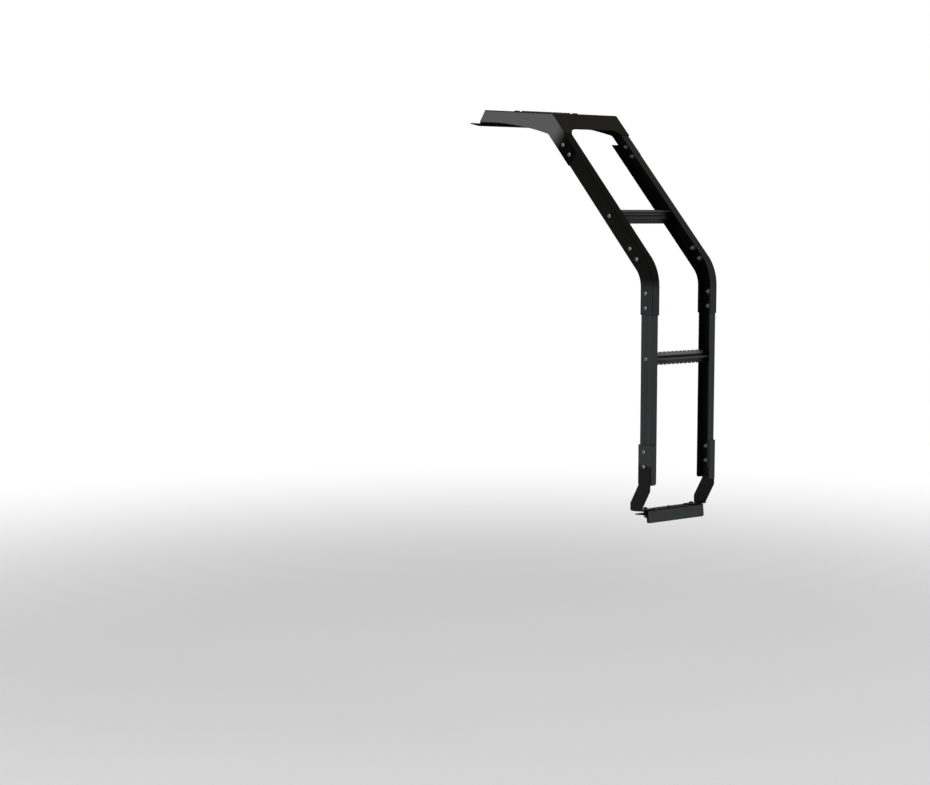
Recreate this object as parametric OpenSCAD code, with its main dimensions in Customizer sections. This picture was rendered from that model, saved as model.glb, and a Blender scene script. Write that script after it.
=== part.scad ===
// Rear ladder: two stiles with a knee, two serrated rungs, a folded hood on top that ends in a
// flat foot, and a step at the bottom that clamps with a hook plate.
// X runs across the ladder, +Y points forward, from the stiles to the foot, and +Z is up.
// The origin is the middle of the roof foot's flat underside.

/* [Stiles] */
// Width over the two lower stiles
stile_span = 220; // [190:1:300]
// Depth of the lower stiles, from their rear flange to their front flange
stile_depth = 44; // [40:1:50]
// Width of the flanges of the lower stiles, the knee joiners and the leg brackets
flange_w = 20; // [18:1:26]
// Thickness of the lower stiles, knee joiners, leg brackets, foot and step
wall = 3; // [2:0.5:4]
// Thickness of the folded sheet of the upper stiles and the hood
sheet = 2; // [1.5:0.5:3]
// Outer corner radius of the lower stiles and the leg brackets
corner_r = 3; // [1:0.5:3]
// Lean of the upper stiles from the vertical, in degrees
lean = 45.5; // [35:0.5:52]
// Height of the knee's corner above the lower ends of the leg brackets
knee_h = 554; // [480:1:640]
// Distance along the upper stile from the knee's corner to the top bolt
upper_reach = 490; // [440:1:560]
// Distance that the upper stile runs on past the top bolt
top_edge = 31; // [20:1:36]

/* [Knee] */
// Bend radius of the rear faces of the stiles at the knee
knee_r = 107; // [90:1:116]
// Straight length of the knee joiners below their bend
joiner_foot = 4; // [2:1:5]
// Distance from the knee's corner to the nearest bolt
knee_bolt = 60; // [58:1:70]

/* [Bolts] */
// Diameter of the bolt holes
bolt_d = 6.5; // [5:0.1:8.5]
// Distance between the two bolts of a pair
bolt_pitch = 38; // [34:1:44]
// Distance from a bolt to the end of the outer piece
outer_edge = 18; // [15:1:20]
// Distance from a bolt of the knee or of a leg bracket to the end of the piece inside
inner_edge = 16; // [12:1:18]
// Height of a leg bracket's lower bolt above the lower ends of its flanges
low_bolt_h = 47; // [40:1:56]

/* [Rungs] */
// Height of a rung over its ribs, along the stile
rung_h = 32; // [30:1:36]
// Depth of a rung over its raised bands
rung_d = 28; // [26:1:32]
// Height of the ribs along a rung's edges
rib_h = 4; // [3.5:0.5:5]
// Thickness of the ribs and of the rung's wall
rib_t = 3; // [2:0.5:4]
// Width of the raised bands along a rung's faces
band_w = 7; // [5:0.5:8]
// Height of the raised bands
band_t = 3; // [2:0.5:4]
// Distance that the upper band and the plain rib lean back
band_slant = 2; // [0:0.5:2.5]
// Width of the groove between two bands
groove_w = 4; // [3:0.5:6]
// Distance between two notches of a serrated rib
tooth_pitch = 14; // [10:1:18]
// Width of a notch at its mouth
notch_w = 6; // [4:0.5:8]
// Depth of a notch
notch_d = 3; // [2:0.5:3]
// Diameter of the tapped port in each rung end
port_d = 5; // [4:0.1:6]
// Length of a port
port_l = 30; // [20:1:40]
// Distance of the ports from the rung's middle, towards its rear face
port_shift = 5; // [3:0.5:5]
// Height of the lower rung above the lower ends of the leg brackets
lower_rung_h = 325; // [260:1:400]
// Distance of the upper rung from the knee's corner, along the stile
upper_rung_at = 218; // [190:1:300]

/* [Hood] */
// Slope of the hood's top plate, in degrees
top_slope = 4.5; // [2:0.5:7]
// Distance of the hood's rear top edge from the top bolt, along the stile
hood_past = 98; // [90:1:120]
// Length of the hood's top plate
top_len = 311; // [260:1:360]
// Height of the hood's sides at the front
front_h = 33; // [30:1:42]
// Slant of the hood's front, from the vertical, in degrees
front_slant = 39; // [20:1:42]
// Slope of the lower edges of the hood's sides at their front ends, in degrees
lower_slope = 2; // [0:0.5:4]
// Radius of the crowned lower edges
crown_r = 1490; // [1200:10:3000]
// Fillet radius between the lower edges and the legs of the hood's sides
leg_fillet = 12; // [6:1:20]
// Distance that the fascia's legs reach down over the ends of the stiles
fascia_lap = 13; // [8:1:18]
// Distance from the hood's rear top edge to the cut-out in its fascia
cutout_drop = 61; // [50:1:66]
// Corner radius of the cut-out
cutout_r = 25; // [10:1:35]
// Outer radius of the bend between the fascia and the top plate
bend_r = 9; // [6:0.5:12]

/* [Grip] */
// Diameter of the raised rims of the holes punched in the top plate, at their base
grip_d = 18; // [16:1:24]
// Height of the rims
grip_h = 2.5; // [1.5:0.5:3]
// Diameter of the punched holes
grip_hole = 9; // [6:0.5:10]
// Distance between the holes
grip_pitch = 34; // [28:1:40]
// Distance from the hood's rear top edge to the first row of holes
grip_at = 106; // [70:1:120]

/* [Roof foot] */
// Length of the flat sole
sole_len = 198; // [160:1:220]
// Slope of the sole, in degrees
sole_slope = 3; // [1:0.5:5]
// Height that the sole stands out below the hood's front corner
sole_drop = 11; // [9:1:14]
// Distance that the sole's front end lies ahead of the hood's front corner
sole_ahead = 8; // [4:1:16]
// Length of the tongue in front of the sole
tongue_len = 42; // [30:1:60]
// Further upward slope of the tongue, in degrees
tongue_slope = 8; // [3:1:12]
// Height of the cheeks that join the sole to the hood's sides
cheek_h = 30; // [26:1:34]
// Height of the cheeks at their rear ends
cheek_rear = 12; // [8:1:20]
// Length over which the cheeks rise to their full height
cheek_rise = 20; // [12:1:40]

/* [Legs] */
// Height from the tread of the bottom step up to the lower ends of the bracket flanges
leg_drop = 73; // [70:1:90]
// Distance that the legs bend forward
leg_shift = 31; // [20:1:34]
// Height of the straight stretch above the bend of a leg's front edge
leg_straight = 3; // [2:1:8]
// Height of the straight stretch below the bend of a leg's front edge
leg_foot = 19; // [18:1:24]
// Radius of the rounded corners of the legs and of the bracket flanges
leg_corner = 6; // [3:1:8]
// Distance that the feet reach inward over the tread
foot_w = 46; // [42:1:52]
// Distance from the bolt of a foot to its leg's outer face
foot_bolt_in = 33; // [28:1:36]

/* [Step] */
// Width of the bottom step
step_w = 194; // [180:1:206]
// Depth of the bottom step's tread
step_d = 58; // [52:1:64]
// Height of the bottom step's rear face
step_h = 33; // [26:1:40]
// Corner radius of the rear face
step_corner = 5; // [2:1:8]
// Angle by which the front of the step dips, in degrees
step_tilt = 6; // [2:0.5:7]
// Gap between the tread and the hook plate
hook_gap = 6; // [5:0.5:10]
// Distance that the hook plate reaches in front of the rear face
hook_d = 48; // [40:1:70]

/* [Hidden] */
$fn = 48;
half = stile_span / 2;
out = half + sheet;
bolt_y = stile_depth / 2;
knee_t = knee_r * tan(lean / 2);
upper_end = upper_reach + top_edge;
hood_at = upper_reach + hood_past;
joiner_low = knee_t + joiner_foot;
joiner_end = knee_bolt + bolt_pitch + inner_edge;
lap_end = knee_bolt + bolt_pitch + outer_edge;
low_end = low_bolt_h - inner_edge;

// Directions in the side view: along the upper stile, into its depth, along the hood's top plate
along = [sin(lean), cos(lean)];
inward = [cos(lean), -sin(lean)];
top_dir = [cos(top_slope), sin(top_slope)];
top_down = [sin(top_slope), -cos(top_slope)];
knee_pt = [0, knee_h];
knee_centre = [knee_r, knee_h - knee_t];
// Rear top corner and front top corner of the hood, over its skin
rear_corner = knee_pt + hood_at * along - 2 * sheet * inward;
front_corner = rear_corner + top_len * top_dir;
front_dir = [sin(front_slant), -cos(front_slant)];
front_foot = front_corner + front_h / cos(front_slant) * front_dir;
// Lower edge of the hood's sides: an arc from the front that meets the front edge of the leg
crown_centre = front_foot + crown_r * [sin(lower_slope), -cos(lower_slope)];
leg_front = knee_pt + (stile_depth + sheet) * inward;
crown_corner = leg_front + leg_meet(leg_front - crown_centre) * along;
corner_slope = asin((crown_centre[0] - crown_corner[0]) / crown_r);
corner_dir = [cos(corner_slope), sin(corner_slope)];
fillet_t = leg_fillet * tan((90 - lean - corner_slope) / 2);
fillet_centre = crown_corner + fillet_t * corner_dir + leg_fillet * [corner_dir[1], -corner_dir[0]];
crown_end = corner_slope - fillet_t / crown_r * 180 / PI;
// Ends of the hood's legs, along the stile: of its sides and of its fascia
side_end = upper_reach - bolt_pitch - outer_edge;
fascia_end = upper_end - fascia_lap;
// Bend between the fascia and the top plate
bend_t = bend_r * tan((90 - lean - top_slope) / 2);
bend_centre = rear_corner + bend_t * top_dir + bend_r * top_down;
// Sole of the roof foot
sole_dir = [cos(sole_slope), sin(sole_slope)];
sole_up = [-sin(sole_slope), cos(sole_slope)];
sole_front = front_foot + [sole_ahead, -sole_drop];
sole_mid = sole_front - sole_len / 2 * sole_dir;
tongue_dir = [cos(sole_slope + tongue_slope), sin(sole_slope + tongue_slope)];
// Bolts of the feet
foot_bolt_x = half + wall - foot_bolt_in;
foot_bolt_y = leg_shift + stile_depth / 2;
// Rungs: their middle and their ports in the depth of the stiles, and the core between bands and ribs
rung_y = stile_depth - wall - rung_d / 2;
rung_port_y = rung_y - port_shift;
core_h = rung_h - 2 * rib_h;
core_d = rung_d - 2 * band_t;

// Point where two lines cross, each given by a point and a direction
function meet(p, u, q, v) =
    let (k = ((q[0] - p[0]) * v[1] - (q[1] - p[1]) * v[0]) / (u[0] * v[1] - u[1] * v[0])) p + k * u;

// Distance along the stile's direction from a point, given from the crown's centre, to the crown
function leg_meet(v) = sqrt((v * along) ^ 2 - v * v + crown_r ^ 2) - v * along;

// Height of a leg's lower edge at depth y
function foot_z(y) = -leg_drop - (y - foot_bolt_y) * tan(step_tilt);

// Points of an arc in the side view, from angle a to angle b in n steps
function arc(centre, r, a, b, n) =
    [for (k = [0 : n]) let (t = a + (b - a) * k / n) centre + r * [cos(t), sin(t)]];

// Arc of the bend between the fascia and the top plate, at radius r
function bend_arc(r) = arc(bend_centre, r, 180 - lean, 90 + top_slope, 8);

function reverse(list) = [for (k = [len(list) - 1 : -1 : 0]) list[k]];

// Moves the ladder so that the middle of the sole is the origin
module in_place() translate([0, -sole_mid[0], -sole_mid[1]]) children();

// Stands a side view outline up as a plate: its thickness runs from x towards +X
module side_plate(x, t) translate([x, 0, 0]) rotate([90, 0, 90]) linear_extrude(t) children();

// Puts children into the upper stile's frame: +Z along the stile, +Y into its depth
module on_upper() translate([0, 0, knee_h]) rotate([-lean, 0, 0]) children();

// Puts children on the hood's rear top edge: +Y along the top plate, z = 0 at its skin
module on_top() translate([0, rear_corner[0], rear_corner[1]]) rotate([top_slope, 0, 0]) children();

// Puts children on the bottom step: the middle bolt at the origin, z = 0 at the tread
module on_step() translate([0, foot_bolt_y, -leg_drop]) rotate([-step_tilt, 0, 0]) children();

// Copies a left piece to the right
module to_right() mirror([1, 0, 0]) children();

// Channel section: web along y at x = 0, flanges towards +x, rounded at the web's corners
module channel(depth, width, t) {
    r = min(corner_r, t);
    difference() {
        union() {
            translate([r, 0]) square([width - r, depth]);
            translate([0, r]) square([2 * r, depth - 2 * r]);
            for (y = [r, depth - r]) translate([r, y]) circle(r);
        }
        translate([t, t]) square([width, depth - 2 * t]);
    }
}

// Hole through the webs on the left, at depth y and distance z along the stile
module web_hole(y, z) {
    translate([-out - wall - 1, y, z]) rotate([0, 90, 0]) cylinder(d = bolt_d, h = sheet + 2 * wall + 2);
}

// Pair of bolt holes through the webs on the left, the first at distance z along the stile
module bolt_pair(z) {
    for (k = [0, 1]) web_hole(bolt_y, z + k * bolt_pitch);
}

// The same pair on the lower stile, at distance z below the knee's corner
module bolt_pair_below(z) translate([0, 0, knee_h]) mirror([0, 0, 1]) bolt_pair(z);

// Line along the stile in the side view, at depth d: from low below the knee's corner to up above it
function knee_line(d, low, up) = concat(
    [[d, knee_h - low]],
    arc(knee_centre, knee_r - d, 180, 180 - lean, 14),
    [knee_pt + up * along + d * inward]
);

// Side view of a bent channel's wall, between depths d and e
module knee_band(d, e, low, up) polygon(concat(knee_line(d, low, up), reverse(knee_line(e, low, up))));

// Bent channel on the left: its outer face at -x, its flanges from there to width, between depths d and e
module bent_channel(x, width, d, e, t, low, up) {
    side_plate(-x, t) knee_band(d, e, low, up);
    for (f = [d, e - t]) side_plate(-x, width) knee_band(f, f + t, low, up);
}

// Folded channel with the bend of the knee, which laps the outside of the lower stile
module upper_stile() {
    color("#17181a") in_place() difference() {
        bent_channel(out, flange_w + 2 * sheet, -sheet, stile_depth + sheet, sheet, lap_end, upper_end);
        bolt_pair_below(knee_bolt);
        on_upper() {
            bolt_pair(knee_bolt);
            bolt_pair(upper_reach - bolt_pitch);
            web_hole(rung_port_y, upper_rung_at);
        }
    }
}

module lower_stile() {
    height = knee_h - joiner_low - low_end;
    color("#303234") in_place() difference() {
        translate([-half, 0, low_end]) linear_extrude(height) channel(stile_depth, flange_w, wall);
        bolt_pair_below(knee_bolt);
        bolt_pair(low_bolt_h);
        web_hole(rung_port_y, lower_rung_h);
    }
}

// Bent channel inside the upper stile's knee, which stands on the end of the lower stile
module knee_joiner() {
    color("#2b2e32") in_place() difference() {
        bent_channel(half, flange_w, 0, stile_depth, wall, joiner_low, joiner_end);
        on_upper() bolt_pair(knee_bolt);
    }
}

// Rung in its own frame: its length along X, centred, its height along Z and its depth along Y
module rung(length) {
    rib_y = (core_d - rib_t) / 2;
    difference() {
        union() {
            rotate([90, 0, 90]) linear_extrude(length, center = true) rung_section();
            translate([0, rib_y, core_h / 2]) serrated_rib(length);
            translate([0, -rib_y, -core_h / 2]) mirror([0, 0, 1]) serrated_rib(length);
        }
        for (s = [0, 1]) mirror([s, 0, 0]) translate([length / 2 - port_l, -port_shift, 0])
            rotate([0, 90, 0]) cylinder(d = port_d, h = port_l + 1);
    }
}

// Hollow section of a rung: a core with two bands on each face, a plain rib and a boss for the ports
module rung_section() {
    difference() {
        union() {
            square([core_d, core_h], center = true);
            for (turn = [0, 180]) rotate(turn) rung_bands();
            translate([band_slant - rung_d / 2, core_h / 2 - rib_t]) square([rib_t, rib_t + rib_h]);
        }
        square([core_d - 2 * rib_t, core_h - 2 * rib_t], center = true);
    }
    translate([-port_shift, 0]) {
        circle(d = port_d + 2 * rib_t);
        square([rib_t, core_h - rib_t], center = true);
    }
}

// Raised bands of a rung's rear face: an upper one that leans back, a groove and a lower one
module rung_bands() {
    top = core_h / 2;
    inner = (rib_t - core_d) / 2;
    polygon([
        [inner, top],
        [band_slant - rung_d / 2, top],
        [-rung_d / 2, top - band_w],
        [inner, top - band_w]
    ]);
    translate([-rung_d / 2, top - 2 * band_w - groove_w]) square([inner + rung_d / 2, band_w]);
}

// Notched rib that stands on z = 0 and is centred on y = 0
module serrated_rib(length) {
    count = floor(length / tooth_pitch);
    start = -(count - 1) / 2 * tooth_pitch;
    floor_z = rib_h - notch_d;
    notch = [[-notch_w / 2, rib_h], [-notch_w / 4, floor_z], [notch_w / 4, floor_z], [notch_w / 2, rib_h]];
    translate([0, rib_t / 2, 0]) rotate([90, 0, 0]) linear_extrude(rib_t) polygon(concat(
        [[-length / 2, 0], [-length / 2, rib_h]],
        [for (k = [0 : count - 1], p = notch) p + [start + k * tooth_pitch, 0]],
        [[length / 2, rib_h], [length / 2, 0]]
    ));
}

module upper_rung() {
    color("#26282a") in_place() on_upper() translate([0, rung_y, upper_rung_at]) rung(stile_span);
}

module lower_rung() {
    color("#26282a") in_place() translate([0, rung_y, lower_rung_h]) rung(stile_span - 2 * wall);
}

// Side view of the hood's side: the body with its crowned lower edge and the leg on the stile
module hood_side_outline() {
    polygon(concat(
        [knee_pt + side_end * along],
        [knee_pt + fascia_end * along],
        [knee_pt + fascia_end * along - 2 * sheet * inward],
        bend_arc(bend_r),
        [front_corner],
        arc(crown_centre, crown_r, 90 + lower_slope, 90 + crown_end, 16),
        arc(fillet_centre, leg_fillet, 90 + corner_slope, 180 - lean, 6),
        [leg_front + side_end * along]
    ));
}

module hood_side() {
    color("#46484a") in_place() difference() {
        side_plate(-out - sheet, sheet) hood_side_outline();
        on_upper() bolt_pair(upper_reach - bolt_pitch);
    }
}

// Rear plate of the hood, with its cut-out, a short leg over each stile and the bend to the top plate
module hood_fascia() {
    color("#211f1c") in_place() difference() {
        side_plate(-out, 2 * out) polygon(concat(
            [knee_pt + fascia_end * along - 2 * sheet * inward],
            bend_arc(bend_r),
            reverse(bend_arc(bend_r - sheet)),
            [knee_pt + fascia_end * along - sheet * inward]
        ));
        on_upper() translate([0, 1 - sheet, 0]) rotate([90, 0, 0]) linear_extrude(sheet + 2) cutout();
    }
}

// Opening of the fascia, drawn across the ladder and along the stile
module cutout() {
    w = 2 * (half - flange_w - sheet);
    top = hood_at - cutout_drop;
    low = fascia_end - cutout_r;
    translate([-w / 2, low]) square([w, top - cutout_r - low]);
    translate([-w / 2 + cutout_r, low]) square([w - 2 * cutout_r, top - low]);
    for (x = [-1, 1]) translate([x * (w / 2 - cutout_r), top - cutout_r]) circle(cutout_r);
}

// Top plate of the hood, with rows of punched holes whose raised rims give grip
module top_tread() {
    places = [for (i = [-1.5 : 1.5], k = [0 : 4]) [i * grip_pitch, grip_at + k * grip_pitch, 0]];
    color("#3a3c3e") in_place() on_top() difference() {
        union() {
            side_plate(-out, 2 * out) polygon([
                [bend_t, 0],
                [top_len, 0],
                [top_len + sheet * tan(front_slant - top_slope), -sheet],
                [bend_t, -sheet]
            ]);
            for (p = places) translate(p) cylinder(d1 = grip_d, d2 = grip_d - 2 * grip_h, h = grip_h);
        }
        for (p = places) translate(p - [0, 0, sheet + 1]) cylinder(d = grip_hole, h = sheet + grip_h + 2);
    }
}

// Slanted front plate of the hood, from the top plate down to the sole
module hood_front() {
    inner = [-cos(front_slant), -sin(front_slant)];
    start = front_corner + sheet / cos(front_slant - top_slope) * front_dir;
    color("#3a3c3e") in_place() side_plate(-out, 2 * out) polygon([
        start,
        meet(start, front_dir, sole_mid + wall * sole_up, sole_dir),
        meet(start + sheet * inner, front_dir, sole_mid + wall * sole_up, sole_dir),
        meet(start + sheet * inner, front_dir, front_corner + sheet * top_down, top_dir)
    ]);
}

// Flat sole with the tongue in front of it
module roof_foot() {
    rear = sole_front - sole_len * sole_dir;
    tongue_up = [-tongue_dir[1], tongue_dir[0]];
    tip = sole_front + tongue_len * tongue_dir;
    color("#1b1c1e") in_place() side_plate(-out, 2 * out) polygon([
        rear,
        sole_front,
        tip,
        tip + wall * tongue_up,
        meet(sole_mid + wall * sole_up, sole_dir, tip + wall * tongue_up, tongue_dir),
        rear + wall * sole_up
    ]);
}

// Upright plate between the sole and the inside of a hood side
module foot_cheek() {
    rear = sole_front - sole_len * sole_dir + wall * sole_up;
    front = meet(front_foot - sheet * [cos(front_slant), sin(front_slant)], front_dir, rear, sole_dir);
    color("#141516") in_place() side_plate(-out, wall) polygon([
        rear,
        front,
        front - cheek_h / cos(front_slant) * front_dir,
        rear + [cheek_rise, cheek_h],
        rear + [0, cheek_rear]
    ]);
}

// Channel on the stile's lower end, the dog-leg below it and the foot on the step
module leg_bracket() {
    top = low_bolt_h + bolt_pitch + outer_edge;
    out_d = stile_depth + 2 * wall;
    color("#2a2c2e") in_place() difference() {
        union() {
            translate([-half - wall, -wall, 0]) linear_extrude(top) channel(out_d, flange_w, wall);
            side_plate(-half - wall, wall) leg_outline();
            side_plate(-half - wall, foot_w) foot_section();
        }
        bolt_pair(low_bolt_h);
        translate([0, out_d - wall + 1, 0]) rotate([90, 0, 0]) linear_extrude(out_d + 2) flange_corner();
        on_step() translate([-foot_bolt_x, 0, -1]) cylinder(d = bolt_d, h = wall + 2);
    }
}

// Side view of the dog-leg below the bracket's channel
module leg_outline() {
    drop = leg_drop - leg_foot;
    turn = stile_depth * tan(atan(leg_shift / (drop - leg_straight)) / 2);
    front = leg_shift + stile_depth;
    corner = [front - leg_corner, foot_z(front - leg_corner) + leg_corner];
    polygon(concat(
        [[0, 0], [0, -leg_straight - turn], [leg_shift, -drop - turn], [leg_shift, foot_z(leg_shift)]],
        arc(corner, leg_corner, -90, 0, 6),
        [[front, -drop], [stile_depth, -leg_straight], [stile_depth, 0]]
    ));
}

// Side view of the foot, which lies on the tread
module foot_section() {
    rear = leg_shift;
    front = leg_shift + stile_depth - leg_corner;
    rise = wall / cos(step_tilt);
    polygon([
        [rear, foot_z(rear)],
        [front, foot_z(front)],
        [front, foot_z(front) + rise],
        [rear, foot_z(rear) + rise]
    ]);
}

// Scrap outside the rounded lower corner of a bracket flange
module flange_corner() {
    edge = flange_w - half - wall;
    difference() {
        translate([edge - leg_corner, -1]) square(leg_corner + 1);
        translate([edge - leg_corner, leg_corner]) circle(leg_corner);
    }
}

// Folded step: a tread and a rear face
module bottom_step() {
    color("#303436") in_place() on_step() difference() {
        union() {
            translate([-step_w / 2, -step_d / 2, -wall]) cube([step_w, step_d, wall]);
            step_upright() step_face();
        }
        step_bolts(-wall);
    }
}

// Stands a face outline up at the rear of the tread
module step_upright() translate([0, wall - step_d / 2, 0]) rotate([90, 0, 0]) linear_extrude(wall) children();

// Holes for the three bolts of the step, through a plate whose underside is at z
module step_bolts(z) {
    for (x = [-1, 0, 1]) translate([x * foot_bolt_x, 0, z - 1]) cylinder(d = bolt_d, h = wall + 2);
}

module step_face() {
    r = step_corner;
    translate([-step_w / 2, r - step_h]) square([step_w, step_h - r]);
    translate([r - step_w / 2, -step_h]) square([step_w - 2 * r, step_h]);
    for (x = [-1, 1]) translate([x * (step_w / 2 - r), r - step_h]) circle(r);
}

// Angle plate against the front of the rear face, whose flat leg forms a jaw with the tread
module hook_plate() {
    top = -wall - hook_gap;
    color("#1d1e20") in_place() on_step() difference() {
        union() {
            translate([-step_w / 2, wall - step_d / 2, top - wall]) cube([step_w, hook_d, wall]);
            translate([0, wall, 0]) step_upright() intersection() {
                step_face();
                translate([-step_w / 2, -step_h]) square([step_w, step_h + top]);
            }
        }
        step_bolts(top - wall);
    }
}

upper_stile();  // upper_stile_left
to_right() upper_stile();  // upper_stile_right
lower_stile();  // lower_stile_left
to_right() lower_stile();  // lower_stile_right
knee_joiner();  // knee_joiner_left
to_right() knee_joiner();  // knee_joiner_right
upper_rung();
lower_rung();
hood_side();  // hood_side_left
to_right() hood_side();  // hood_side_right
hood_fascia();
top_tread();
hood_front();
roof_foot();
foot_cheek();  // foot_cheek_left
to_right() foot_cheek();  // foot_cheek_right
leg_bracket();  // leg_bracket_left
to_right() leg_bracket();  // leg_bracket_right
bottom_step();
hook_plate();
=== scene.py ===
from math import cos, pi, radians, sin

import bmesh
import bpy
from mathutils import Matrix, Vector


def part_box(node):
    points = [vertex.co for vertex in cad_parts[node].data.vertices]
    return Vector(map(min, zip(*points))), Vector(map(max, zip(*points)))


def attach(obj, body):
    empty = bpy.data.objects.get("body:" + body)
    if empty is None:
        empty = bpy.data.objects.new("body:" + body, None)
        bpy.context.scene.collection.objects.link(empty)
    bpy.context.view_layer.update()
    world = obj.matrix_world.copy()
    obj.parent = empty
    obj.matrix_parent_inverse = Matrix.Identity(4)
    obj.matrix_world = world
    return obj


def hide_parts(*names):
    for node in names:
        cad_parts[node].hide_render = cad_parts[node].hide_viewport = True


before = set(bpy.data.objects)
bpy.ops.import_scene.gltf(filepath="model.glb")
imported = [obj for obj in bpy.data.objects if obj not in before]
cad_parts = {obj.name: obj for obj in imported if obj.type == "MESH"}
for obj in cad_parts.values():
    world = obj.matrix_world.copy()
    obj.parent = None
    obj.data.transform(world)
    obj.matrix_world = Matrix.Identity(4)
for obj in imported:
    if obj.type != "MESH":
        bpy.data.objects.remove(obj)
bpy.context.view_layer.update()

# Camera
# The ladder is seen from behind and from its left, from about the height of its knee, by a
# medium long lens about four and a half metres away.
scene = bpy.context.scene
scene.view_settings.view_transform = "Standard"
camera_data = bpy.data.cameras.new("camera")
camera_data.lens = 65.81
camera_data.sensor_width = 36
camera_data.clip_start = 0.05
camera = bpy.data.objects.new("camera", camera_data)
camera.location = (-2.976, -3.9403, -0.25911)
camera.rotation_euler = (radians(90 - 5.85), radians(0.03), radians(-34.88))
scene.collection.objects.link(camera)
scene.camera = camera


# Upper stiles
# Each is folded from one sheet into a channel that takes the bend of the knee and laps the lower
# stile. The folds are rounded, and a satin black powder coat is melted on with a fine orange peel.
class Socket:
    """A shader socket that takes + - * with numbers and other sockets."""

    def __init__(self, tree, out):
        self.tree = tree
        self.out = out

    def math(self, operation, *values):
        return node(self.tree, "ShaderNodeMath", {"operation": operation}, dict(enumerate(values)))

    def __add__(self, other):
        return self.math("ADD", self, other)

    def __sub__(self, other):
        return self.math("SUBTRACT", self, other)

    def __rsub__(self, other):
        return self.math("SUBTRACT", other, self)

    def __mul__(self, other):
        return self.math("MULTIPLY", self, other)

    __radd__ = __add__
    __rmul__ = __mul__


def node(tree, kind, settings=None, inputs=None, output=0):
    """Adds one node: its settings first, then the values or links of its sockets."""
    made = tree.nodes.new(kind)
    for key, value in (settings or {}).items():
        setattr(made, key, value)
    set_inputs(tree, made, inputs or {})
    return Socket(tree, made.outputs[output])


def set_inputs(tree, made, inputs):
    """Links or sets the sockets of a node, each named by its label or its number."""
    for key, value in inputs.items():
        if isinstance(value, Socket):
            tree.links.new(value.out, made.inputs[key])
        else:
            made.inputs[key].default_value = value


def new_material(name):
    """A material with its tree, its Principled shader and its object coordinates."""
    material = bpy.data.materials.new(name)
    material.use_nodes = True
    tree = material.node_tree
    shader = tree.nodes["Principled BSDF"]
    where = node(tree, "ShaderNodeTexCoord", output=3)
    return material, tree, shader, where


def noise(tree, where, scale, detail, roughness):
    return node(tree, "ShaderNodeTexNoise", None,
                {"Vector": where, "Scale": scale, "Detail": detail, "Roughness": roughness})


def mix(tree, factor, first, second):
    """Blends two colours, each a tuple or a socket."""
    colours = [c if isinstance(c, Socket) else (*c, 1) for c in (first, second)]
    return node(tree, "ShaderNodeMix", {"data_type": "RGBA"},
                {0: factor, 6: colours[0], 7: colours[1]}, output=2)


def distance(tree, where, direction):
    """How far a point lies along a direction."""
    return node(tree, "ShaderNodeVectorMath", {"operation": "DOT_PRODUCT"},
                {0: where, 1: direction}, output=1)


def run(tree, where, direction, start, end):
    """Rises smoothly from 0 at start to 1 at end along a direction."""
    return node(tree, "ShaderNodeMapRange", {"interpolation_type": "SMOOTHSTEP"},
                {0: distance(tree, where, direction), 1: start, 2: end})


def from_the_middle(tree, where, start, end):
    """Rises from 0 to 1 between two distances from the ladder's middle plane."""
    apart = node(tree, "ShaderNodeSeparateXYZ", None, {0: where})
    return node(tree, "ShaderNodeMapRange", None, {0: apart.math("ABSOLUTE", apart), 1: start, 2: end})


def paint(red, green, blue):
    """A screen colour from 0 to 255, turned into the even scale that a shader takes."""
    return tuple(((c / 255 + 0.055) / 1.055) ** 2.4 if c > 10 else c / 255 / 12.92
                 for c in (red, green, blue))


def powder_coat(name, colour, roughness, gloss, changes=()):
    """Satin powder coat. Each change is a mask on the coordinates and the colour that it brings in."""
    material, tree, shader, where = new_material(name)
    for mask, other in changes:
        colour = mix(tree, mask(tree, where), colour, other)
    grain = noise(tree, where, 2400, 2, 0.6)
    cloud = noise(tree, where, 9, 4, 0.6)
    dusty = mix(tree, grain * cloud * 0.02, colour, (0.30, 0.30, 0.29))
    peel = noise(tree, where, 950, 2, 0.5)
    bump = node(tree, "ShaderNodeBump", None, {"Strength": 0.16, "Distance": 0.0003, "Height": peel})
    set_inputs(tree, shader, {
        "Base Color": dusty, "Roughness": cloud * 0.14 + grain * 0.06 + (roughness - 0.10),
        "Normal": bump, "Specular IOR Level": gloss,
    })
    return material


def finish_node(name, material, bevel=0.0006):
    """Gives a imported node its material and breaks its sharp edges, unless the bevel is 0."""
    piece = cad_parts[name]
    piece.data.materials.clear()
    piece.data.materials.append(material)
    weld = piece.modifiers.new("weld", "WELD")
    weld.merge_threshold = 0.00001
    if bevel == 0:
        return
    soften = piece.modifiers.new("edges", "BEVEL")
    soften.width = bevel
    soften.segments = 2
    soften.limit_method = "ANGLE"
    soften.angle_limit = radians(35)
    soften.harden_normals = True


def add_piece(name, mesh, material):
    """Turns a bmesh into a piece that rides on the ladder and takes its finish from a slot."""
    bmesh.ops.recalc_face_normals(mesh, faces=mesh.faces)
    data = bpy.data.meshes.new(name)
    mesh.to_mesh(data)
    mesh.free()
    data.materials.append(material)
    data.shade_smooth()
    data.set_sharp_from_angle(angle=radians(32))
    piece = bpy.data.objects.new(name, data)
    scene.collection.objects.link(piece)
    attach(piece, "root")
    return piece


# Directions: up the leaning stile, from its rear to its front, and the ladder's own three
lean = radians(45.5)
along = Vector((0, sin(lean), cos(lean)))
inward = Vector((0, cos(lean), -sin(lean)))
across = Vector((1, 0, 0))
forward = Vector((0, 1, 0))
up = Vector((0, 0, 1))

# Rear corners of the bracket's bend and of the knee in the side view, and the stiles' sizes
stile_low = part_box("lower_stile_left")[0]
stile_start = 0.031
knee_height = 0.554
foot_of_stile = Vector((0, stile_low.y, stile_low.z - stile_start))
knee = foot_of_stile + knee_height * up
stile_depth = 0.044
half_span = 0.110
sheet = 0.002
wall = 0.003


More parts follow.
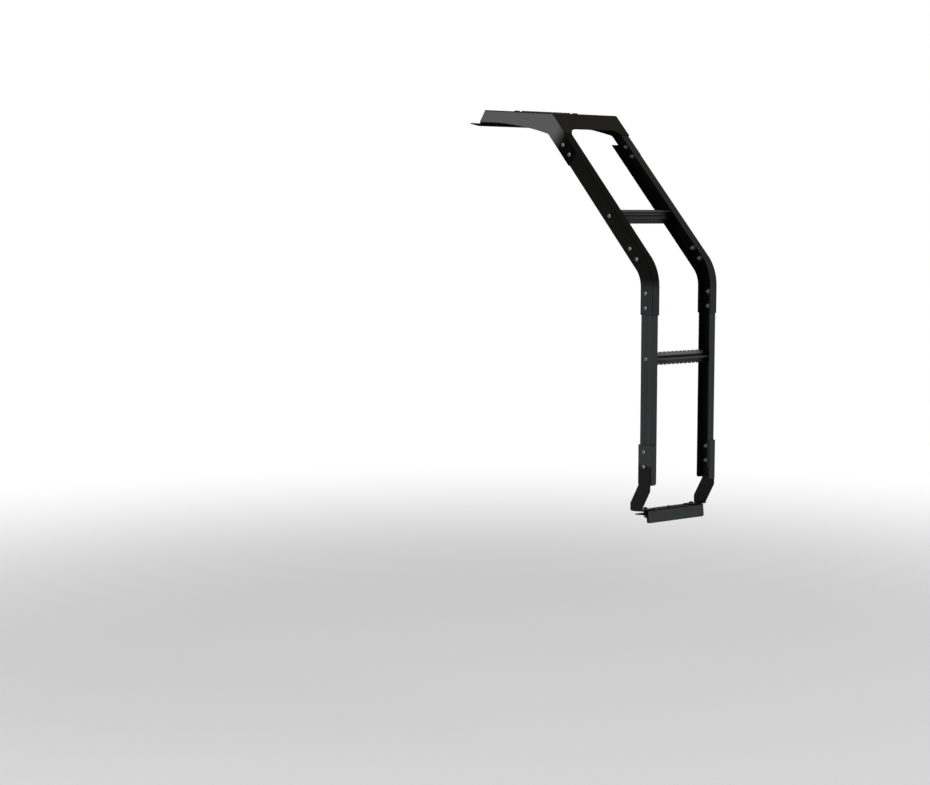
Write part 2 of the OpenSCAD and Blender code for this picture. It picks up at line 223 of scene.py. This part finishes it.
def folded(name, old, folds, material):
    """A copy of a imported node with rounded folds, each given as a test of a point and a radius."""
    mesh = bmesh.new()
    mesh.from_mesh(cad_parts[old].data)
    bmesh.ops.remove_doubles(mesh, verts=mesh.verts, dist=0.00002)
    bmesh.ops.dissolve_limit(mesh, angle_limit=radians(0.4), verts=mesh.verts, edges=mesh.edges)
    for is_on_it, radius in folds:
        edges = [e for e in mesh.edges if all(is_on_it(v.co) for v in e.verts)]
        bmesh.ops.bevel(mesh, geom=edges, offset=radius, segments=4, profile=0.5, material=-1,
                        affect="EDGES", clamp_overlap=False)
    piece = add_piece(name, mesh, material)
    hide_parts(old)


# The stile's rear line runs round the knee on an arc
bend_radius = 0.107
bend_start = bend_radius * sin(lean / 2) / cos(lean / 2)
bend_centre = Vector((0, foot_of_stile.y + bend_radius, knee.z - bend_start))


def depth_at(point):
    """Depth of a point in the stile, measured from the lower stile's rear face."""
    reach = point - bend_centre
    if reach.z < 0:
        return point.y - foot_of_stile.y
    if reach.dot(along) > 0:
        return (point - knee).dot(inward)
    return bend_radius - Vector((0, reach.y, reach.z)).length


def on_fold(x, depths):
    """Tells whether a point lies on a fold: x from the middle and at one of the depths."""
    return lambda point: abs(abs(point.x) - x) < 0.0001 and any(
        abs(depth_at(point) - depth) < 0.0002 for depth in depths)


def painted_light_to_the_right(tree, where):
    """Painted light: rises from the left stile to the paler right one."""
    return run(tree, where, across, -0.10, 0.10)


def painted_light_below_the_bend(tree, where):
    """Painted light on the upright part of the upper stile, under the knee."""
    return run(tree, where, -up, 0.020 - knee.z, 0.060 - knee.z)


def painted_shade_inside_the_stile(tree, where):
    """Painted shade on the faces inside the bent channel: in front of its rear flange and between the two
    webs.
    """
    reach = node(tree, "ShaderNodeVectorMath", {"operation": "SUBTRACT"}, {0: where, 1: bend_centre})
    flat = node(tree, "ShaderNodeVectorMath", {"operation": "MULTIPLY"}, {0: reach, 1: (0, 1, 1)})
    radius = node(tree, "ShaderNodeVectorMath", {"operation": "LENGTH"}, {0: flat}, output=1)
    drop = distance(tree, reach, -up)
    climb = distance(tree, reach, along)
    is_upright = drop.math("GREATER_THAN", drop, 0)
    is_leaning = climb.math("GREATER_THAN", climb, 0)
    upright_depth = distance(tree, reach, forward) * is_upright
    leaning_depth = distance(tree, reach, inward) * is_leaning
    depth = upright_depth + leaning_depth - radius * (1 - is_upright - is_leaning) + bend_radius
    is_ahead = depth.math("GREATER_THAN", depth, -0.6 * sheet)
    return is_ahead * (1 - from_the_middle(tree, where, half_span + 0.4 * sheet, half_span + 0.7 * sheet))


# Painted light and shade: the right stile and the upright part under the knee are painted paler for the
# light on them, and the faces inside the channel are painted black for their shade.
upper_coat = powder_coat("upper_coat", paint(13, 13, 12), 0.42, 0.008, [
    (painted_light_to_the_right, paint(37, 37, 36)),
    (painted_light_below_the_bend, paint(43, 46, 46)),
    (painted_shade_inside_the_stile, paint(2, 2, 2)),
])
outer_folds = on_fold(half_span + sheet, (-sheet, stile_depth + sheet))
inner_folds = on_fold(half_span, (0, stile_depth))
stile_folds = ((outer_folds, 2 * sheet), (inner_folds, sheet))
for side in ("left", "right"):
    folded(f"folded_stile_{side}", f"upper_stile_{side}", stile_folds, upper_coat)


# Lower stiles
# Straight channels with 3 mm walls, which stand inside the ends of the upper stiles and of the leg
# brackets. Their coat is painted paler outside as painted light, where more light falls on it, and
# black inside as painted shade.
def painted_shade_inside_the_lower(tree, where):
    """Painted shade on the faces inside the upright channel."""
    rear = foot_of_stile.y
    is_ahead = run(tree, where, forward, rear + 0.0012, rear + 0.0020)
    return is_ahead * (1 - from_the_middle(tree, where, half_span - 0.0018, half_span - 0.0012))


lower_coat = powder_coat("lower_coat", paint(44, 47, 47), 0.44, 0.06, [(painted_shade_inside_the_lower, paint(2, 2, 2))])
for side in ("left", "right"):
    finish_node(f"lower_stile_{side}", lower_coat)

# Knee joiners
# Bent channels of 3 mm sheet inside the knee, coated black and left sharp; their near-black colour
# is also painted shade, as dark as the inside of the channel. They stand on the lower stiles' ends,
# and the upper knee bolts clamp them against the upper stiles.
joiner_coat = powder_coat("joiner_coat", paint(2, 2, 2), 0.45, 0.004)
for side in ("left", "right"):
    finish_node(f"knee_joiner_{side}", joiner_coat, 0)


# Rungs
# Black anodised extrusions with grooved bands and serrated ribs, screwed between the stiles. The
# die leaves fine lines along them, feet rub their middle brighter, and their right ends are painted
# shade where the stile shades them.
def anodised(name, colour, rubbed, changes):
    """Black anodising over drawn lines. The changes are masks and colours, as in the powder coat."""
    material, tree, shader, where = new_material(name)
    lines = node(tree, "ShaderNodeMapping", None, {"Vector": where, "Scale": (6, 2600, 2600)})
    drawn = noise(tree, lines, 1, 3, 0.6)
    spread = noise(tree, where, 14, 3, 0.6)
    ends = run(tree, where, across, 0.02, 0.11) + run(tree, where, -across, 0.02, 0.11)
    tint = mix(tree, spread * (1 - ends) * 0.8, colour, rubbed)
    tint = mix(tree, drawn * 0.18, tint, rubbed)
    for mask, other in changes:
        tint = mix(tree, mask(tree, where), tint, other)
    bump = node(tree, "ShaderNodeBump", None, {"Strength": 0.25, "Distance": 0.0002, "Height": drawn})
    set_inputs(tree, shader, {
        "Base Color": tint, "Roughness": drawn * 0.16 + 0.34,
        "Normal": bump, "Specular IOR Level": 0.10,
    })
    return material


def above(level):
    """A mask for what lies above a level, with a soft edge."""
    return lambda tree, where: run(tree, where, up, level - 0.0008, level + 0.0008)


def band(name, start, end):
    """A mask for a level stripe of a node, between two distances below its top."""
    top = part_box(name)[1].z
    return lambda tree, where: above(top - end)(tree, where) - above(top - start)(tree, where)


def right_end(tree, where):
    """The end that lies in the right stile's shade."""
    return run(tree, where, across, 0.050, 0.085)


black = (0, 0, 0)
# Painted light and shade: the lit rib and the lower rung's top band are painted highlights, the band under
# that top band is a painted shadow, and the lower rung's paler tones are painted light on the same
# extrusion.
lit_rib = paint(66, 67, 66)
upper_rung_coat = anodised("upper_rung_coat", paint(14, 15, 15), paint(50, 51, 50), [
    (right_end, black),
    (band("upper_rung", 0.002, 0.006), lit_rib),
])
lower_rung_coat = anodised("lower_rung_coat", paint(20, 21, 21), paint(62, 63, 62), [
    (band("lower_rung", -0.002, 0.0078), paint(92, 93, 92)),
    (band("lower_rung", 0.0078, 0.0142), paint(4, 4, 4)),
    (right_end, black),
    (band("lower_rung", 0.0148, 0.0186), lit_rib),
])
finish_node("upper_rung", upper_rung_coat, 0.0005)
finish_node("lower_rung", lower_rung_coat, 0.0005)


# Hood sides
# Flat plates cut from 2 mm sheet. Each lies beside the top plate, and its leg laps the stile. The
# powder coat is painted pale on the upper part, where it takes more light, and black down the leg,
# where it lies in shade: painted light and painted shade. The dark line along the upper edge and
# the inner face are painted shade too.
def painted_light_up_the_leg(tree, where):
    """Painted light: rises from the leg's black, shaded end to the pale plate."""
    start = (knee + 0.492 * along).dot(along)
    return run(tree, where, along, start, start + 0.056)


def farthest(name, direction):
    """How far a node reaches along a direction."""
    return max(vert.co.dot(direction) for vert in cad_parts[name].data.vertices)


def painted_shade_on_the_crown(tree, where):
    """Painted shade: the dark line along the plate's upper edge."""
    crown = farthest("hood_side_left", crown_up)
    return run(tree, where, crown_up, crown - 0.0032, crown - 0.0024)


def painted_shade_on_the_inner_face(tree, where):
    """Painted shade on the face between the plate and the hollow of the hood."""
    return 1 - from_the_middle(tree, where, half_span + 1.5 * sheet, half_span + 1.7 * sheet)


top_slope = radians(4.5)
crown_up = Vector((0, -sin(top_slope), cos(top_slope)))
side_coat = powder_coat("side_coat", paint(1, 1, 1), 0.45, 0.004, [
    (painted_light_up_the_leg, paint(88, 89, 88)),
    (painted_shade_on_the_crown, paint(36, 36, 36)),
    (painted_shade_on_the_inner_face, paint(4, 4, 4)),
])
for side in ("left", "right"):
    finish_node(f"hood_side_{side}", side_coat, 0.0007)


# Hood fascia
# The rear plate over the ends of the stiles, with a rounded cut-out for a foot and the bend to
# the top plate. It is black with a warm tinge, and the bend is painted darkest as painted shade.
def painted_shade_on_the_bend(tree, where):
    """Painted shade on the bend between the rear plate and the top plate."""
    edge = farthest("hood_fascia", along)
    return run(tree, where, along, edge - 0.0046, edge - 0.0038)


fascia_coat = powder_coat("fascia_coat", paint(21, 17, 10), 0.45, 0.02, [(painted_shade_on_the_bend, black)])
finish_node("hood_fascia", fascia_coat, 0.0006)

# Top plate and hood front
# The plate that is stepped on, with punched and raised grip holes, and the slanted plate that
# closes the hood in front. Both are powder coated sheet.
top_coat = powder_coat("top_coat", paint(14, 14, 14), 0.48, 0.03)
finish_node("top_tread", top_coat, 0.0005)
finish_node("hood_front", top_coat, 0.0006)

# Foot
# The flat sole with its tongue, and the two cheeks that join it to the hood's sides. They are
# coated matt black.
foot_coat = powder_coat("foot_coat", paint(1, 1, 1), 0.6, 0.002)
for name in ("roof_foot", "foot_cheek_left", "foot_cheek_right"):
    finish_node(name, foot_coat, 0.0006)


# Leg brackets
# Channels that lap the lower stiles, with a dog-leg plate and a foot on the step, cut and folded
# from 3 mm sheet. The coat is painted pale outside as painted light, and the web below the lap and
# the faces inside the channel are painted darker as painted shade.
def painted_shade_below_the_lap(tree, where):
    """Painted shade on the web under the lower stile's end, down to the foot."""
    low = foot_of_stile.z + 0.050
    is_web = from_the_middle(tree, where, half_span - 0.2 * wall, half_span + 0.0004)
    return is_web * run(tree, where, -up, -low - 0.006, -low + 0.006)


def painted_shade_inside_the_bracket(tree, where):
    """Painted shade on the faces inside the bracket's channel."""
    rear = foot_of_stile.y
    is_ahead = run(tree, where, forward, rear - 0.0018, rear - 0.0010)
    return is_ahead * (1 - from_the_middle(tree, where, half_span + 0.4 * wall, half_span + 0.6 * wall))


bracket_coat = powder_coat("bracket_coat", paint(47, 49, 48), 0.44, 0.06, [
    (painted_shade_inside_the_bracket, paint(3, 3, 3)),
    (painted_shade_below_the_lap, paint(11, 10, 10)),
])
for side in ("left", "right"):
    finish_node(f"leg_bracket_{side}", bracket_coat, 0.0007)


# Bottom step
# A folded plate with its tread and its rear face, clamped between the feet of the brackets and
# the hook plate. The tread and the ends are painted black as painted shade, and the rear face is
# painted paler as painted light.
def painted_shade_on_the_tread(tree, where):
    """Painted shade on the tread's upper side."""
    level = step_middle.dot(step_up)
    return run(tree, where, step_up, level - 0.0022, level - 0.0012)


def painted_shade_at_the_step_ends(tree, where):
    """Painted shade on the cut edges at both ends."""
    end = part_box("bottom_step")[1].x
    return from_the_middle(tree, where, end - 0.0016, end - 0.0010)


tilt = radians(6)
step_up = Vector((0, sin(tilt), cos(tilt)))
step_middle = foot_of_stile + Vector((0, 0.053, -0.073))
step_coat = powder_coat("step_coat", paint(54, 57, 58), 0.55, 0.01, [
    (painted_shade_on_the_tread, paint(6, 6, 6)),
    (painted_shade_at_the_step_ends, paint(1, 1, 1)),
])
finish_node("bottom_step", step_coat, 0.0007)

# Hook plate
# The angle plate behind the step's rear face, folded from 3 mm sheet. Its flat leg clamps from
# below and leaves a jaw under the tread.
hook_coat = powder_coat("hook_coat", paint(4, 4, 4), 0.5, 0.004)
finish_node("hook_plate", hook_coat, 0.0006)


# Stile bolts
# M6 button-head screws of plain steel through the laps of hood, knee and brackets, each with a
# locking nut inside the channel. The knee's and the brackets' have black washers under the head.
def turned(profile):
    """Mesh of a turned part. A step of its profile is radius, height and whether it is hexagonal."""
    mesh = bmesh.new()
    points = [mesh.verts.new((r / 1000, 0, z / 1000)) for r, z, _ in profile]
    edges = [mesh.edges.new(pair) for pair in zip(points, points[1:])]
    bmesh.ops.spin(mesh, geom=points + edges, axis=up, cent=(0, 0, 0), angle=2 * pi, steps=24,
                   use_merge=True, use_duplicate=False)
    bmesh.ops.remove_doubles(mesh, verts=mesh.verts, dist=0.000002)
    hexagons = [(r / 1000, z / 1000) for r, z, is_hexagon in profile if is_hexagon]
    for vert in mesh.verts:
        radius = vert.co.xy.length
        if any(abs(radius - r) < 1e-6 and abs(vert.co.z - z) < 1e-6 for r, z in hexagons):
            turn = vert.co.xy.angle_signed(Vector((1, 0)), 0) % radians(60) - radians(30)
            vert.co.x /= cos(turn)
            vert.co.y /= cos(turn)
    bmesh.ops.recalc_face_normals(mesh, faces=mesh.faces)
    data = bpy.data.meshes.new("turned")
    mesh.to_mesh(data)
    mesh.free()
    return data


def set_out(name, parts, places, material, mirrored=True):
    """Puts each part at each place, along its axis, and mirrors them all to the right."""
    mesh = bmesh.new()
    for place, axis in places:
        for part, shift in parts:
            before = len(mesh.verts)
            mesh.from_mesh(part)
            mesh.verts.ensure_lookup_table()
            turn = axis.to_track_quat("Z", "X").to_matrix().to_4x4()
            bmesh.ops.transform(mesh, matrix=Matrix.Translation(place + shift * axis) @ turn,
                                verts=mesh.verts[before:])
    if mirrored:
        copy = mesh.copy()
        bmesh.ops.scale(copy, vec=(-1, 1, 1), verts=copy.verts)
        bmesh.ops.reverse_faces(copy, faces=copy.faces)
        data = bpy.data.meshes.new("mirrored")
        copy.to_mesh(data)
        copy.free()
        mesh.from_mesh(data)
    add_piece(name, mesh, material)


def steel(name, colour, roughness):
    """Bare steel with a fine grain that makes it darker and rougher in places."""
    material, tree, shader, where = new_material(name)
    grain = noise(tree, where, 1500, 3, 0.6)
    tint = mix(tree, grain * 0.5, colour, tuple(c * 0.6 for c in colour))
    bump = node(tree, "ShaderNodeBump", None, {"Strength": 0.1, "Distance": 0.0001, "Height": grain})
    set_inputs(tree, shader, {
        "Base Color": tint, "Roughness": grain * 0.2 + (roughness - 0.1),
        "Normal": bump, "Metallic": 1.0,
    })
    return material


bolt_steel = steel("bolt_steel", (0.24, 0.24, 0.235), 0.30)
nut_steel = steel("nut_steel", (0.16, 0.16, 0.16), 0.4)
washer_black = powder_coat("washer_black", paint(10, 10, 10), 0.4, 0.1)
# The socket discs are painted shade: a black sheet in the bottom of each head's hexagonal recess.
painted_socket_shade = powder_coat("painted_socket_shade", black, 0.9, 0.0)

# Profiles in millimetres over the seat. The socket is a black disc on the floor of the head's hexagon:
# painted shade in the recess.
head = turned([
    (5.6, 0, False), (5.6, 0.5, False), (5.35, 1.2, False), (4.7, 2.2, False), (3.9, 2.8, False),
    (3.2, 3.2, False), (3.0, 3.25, False), (2.5, 2.9, True), (2.5, 0.9, True), (0, 0.5, False),
])
socket = turned([(2.6, 2.2, True), (0, 2.1, False)])
washer = turned([
    (3.2, 0, False), (6.2, 0, False), (6.3, 0.15, False), (6.3, 0.85, False), (6.1, 1.0, False),
    (3.2, 1.0, False),
])
nut = turned([
    (3.0, 0, False), (4.7, 0, False), (5.0, 0.35, True), (5.0, 4.3, True), (4.75, 4.7, False),
    (4.2, 4.75, False), (4.2, 5.6, False), (3.7, 6.1, False), (3.0, 6.1, False),
])
thread = [(2.95 if k % 2 else 2.6, 5.0 + 0.5 * k, False) for k in range(7)]
tail = turned(thread + [(2.2, 8.7, False), (0, 8.7, False)])


def on_leaning_stile(reach, x):
    """A place on the left stile's web, at a distance from the knee and from the middle plane."""
    return knee + reach * along + stile_depth / 2 * inward - x * across


def on_upright_stile(height, x):
    """The same on the upright stile, at a height over its foot."""
    return foot_of_stile + height * up + stile_depth / 2 * forward - x * across


def pair(first):
    """The distances of two bolts of a lap."""
    return first, first + 0.038


washer_height = 0.001
hood_bolts = [on_leaning_stile(reach, half_span + 2 * sheet) for reach in pair(0.452)]
knee_bolts = [on_leaning_stile(reach, half_span + sheet) for reach in pair(0.060)]
knee_bolts += [on_upright_stile(knee_height - drop, half_span + sheet) for drop in pair(0.060)]
low_bolts = [on_upright_stile(height, half_span + wall) for height in pair(0.047)]
bare = [(place, -across) for place in hood_bolts]
on_washers = [(place, -across) for place in knee_bolts + low_bolts]
set_out("hood_bolt_heads", [(head, 0)], bare, bolt_steel)
set_out("hood_bolt_sockets", [(socket, 0)], bare, painted_socket_shade)
set_out("bolt_heads", [(head, washer_height)], on_washers, bolt_steel)
set_out("bolt_sockets", [(socket, washer_height)], on_washers, painted_socket_shade)
set_out("bolt_washers", [(washer, 0)], on_washers, washer_black)

# Each nut seats on its washer inside the channel, on the sheet or on the 3 mm wall
nut_and_tail = [(washer, 0), (nut, washer_height), (tail, washer_height)]
nut_seats = [(Vector((-half_span, place.y, place.z)), across) for place in hood_bolts]
nut_seats += [(Vector((wall - half_span, place.y, place.z)), across) for place in knee_bolts + low_bolts]
set_out("bolt_nuts", nut_and_tail, nut_seats, nut_steel)

# Rung screws
# One M6 screw of the same kind goes through each stile's web into the tapped port in the end of
# the rung, without a washer.
rung_screws = [
    (on_leaning_stile(0.218, half_span + sheet), -across),
    (on_upright_stile(0.325, half_span), -across),
]
set_out("rung_screws", [(head, 0)], rung_screws, bolt_steel)
set_out("rung_screw_sockets", [(socket, 0)], rung_screws, painted_socket_shade)

# Step bolts
# Three blackened M6 screws through feet, tread and hook plate. Each has a sleeve in the jaw and
# a nut below.
dark_steel = steel("dark_steel", (0.03, 0.03, 0.03), 0.4)
jaw = 0.006
bolt_spread = 0.080
sleeve = turned([(3.1, 0, False), (5.0, 0, False), (5.0, 6.0, False), (3.1, 6.0, False)])
on_feet = [(step_middle - bolt_spread * across + wall * step_up, step_up)]
on_tread = [(step_middle, step_up)]
set_out("foot_bolt_heads", [(head, washer_height)], on_feet, dark_steel)
set_out("foot_bolt_washers", [(washer, 0)], on_feet, washer_black)
set_out("middle_bolt_head", [(head, washer_height)], on_tread, dark_steel, False)
set_out("middle_bolt_washer", [(washer, 0)], on_tread, washer_black, False)
bolt_lines = [step_middle - x * across for x in (-bolt_spread, 0, bolt_spread)]
below_hook = [(line - (2 * wall + jaw) * step_up, -step_up) for line in bolt_lines]
set_out("step_nuts", nut_and_tail, below_hook, nut_steel, False)
in_jaw = [(line - (wall + jaw) * step_up, step_up) for line in bolt_lines]
set_out("step_sleeves", [(sleeve, 0)], in_jaw, washer_black, False)

# Studio
# A pale matt floor under the ladder that fades to the white background, an even white world and
# two large soft lamps.
ground = -1.65
floor_mesh = bmesh.new()
bmesh.ops.create_grid(floor_mesh, x_segments=1, y_segments=1, size=40)
bmesh.ops.translate(floor_mesh, verts=floor_mesh.verts, vec=ground * up)
floor_data = bpy.data.meshes.new("floor")
floor_mesh.to_mesh(floor_data)
floor = bpy.data.objects.new("floor", floor_data)
scene.collection.objects.link(floor)
floor_material, tree, shader, where = new_material("floor")
set_inputs(tree, shader, {"Base Color": (0.86, 0.86, 0.86, 1), "Roughness": 0.8, "Specular IOR Level": 0.1})
from_the_ladder = node(tree, "ShaderNodeVectorMath", {"operation": "LENGTH"}, {0: where}, output=1)
far = node(tree, "ShaderNodeMapRange", {"interpolation_type": "SMOOTHSTEP"},
           {0: from_the_ladder, 1: 2.0, 2: 5.0})
glow = tree.nodes.new("ShaderNodeEmission")
blend = tree.nodes.new("ShaderNodeMixShader")
tree.links.new(far.out, blend.inputs[0])
tree.links.new(shader.outputs[0], blend.inputs[1])
tree.links.new(glow.outputs[0], blend.inputs[2])
tree.links.new(blend.outputs[0], tree.nodes["Material Output"].inputs["Surface"])
floor_data.materials.append(floor_material)

world = bpy.data.worlds.new("world")
scene.world = world
world.use_nodes = True
tree = world.node_tree
background = tree.nodes["Background"]
rays = tree.nodes.new("ShaderNodeLightPath")
seen = Socket(tree, rays.outputs["Is Camera Ray"])
for name in ("Is Glossy Ray", "Is Transmission Ray"):
    seen = seen.math("MAXIMUM", seen, Socket(tree, rays.outputs[name]))
set_inputs(tree, background, {"Color": (1, 1, 1, 1), "Strength": seen * 0.45 + 0.55})


def soft_lamp(name, place, target, width, power):
    """A square lamp that faces a target."""
    data = bpy.data.lights.new(name, "AREA")
    data.shape = "SQUARE"
    data.size = width
    data.energy = power
    lamp = bpy.data.objects.new(name, data)
    lamp.location = place
    lamp.rotation_euler = (Vector(target) - Vector(place)).to_track_quat("-Z", "Y").to_euler()
    scene.collection.objects.link(lamp)


soft_lamp("key", (2.6, -4.0, 2.2), (0, -0.4, -0.4), 2.5, 60)
soft_lamp("fill", (-4.0, -2.0, 0.5), (0, -0.4, -0.5), 3, 60)
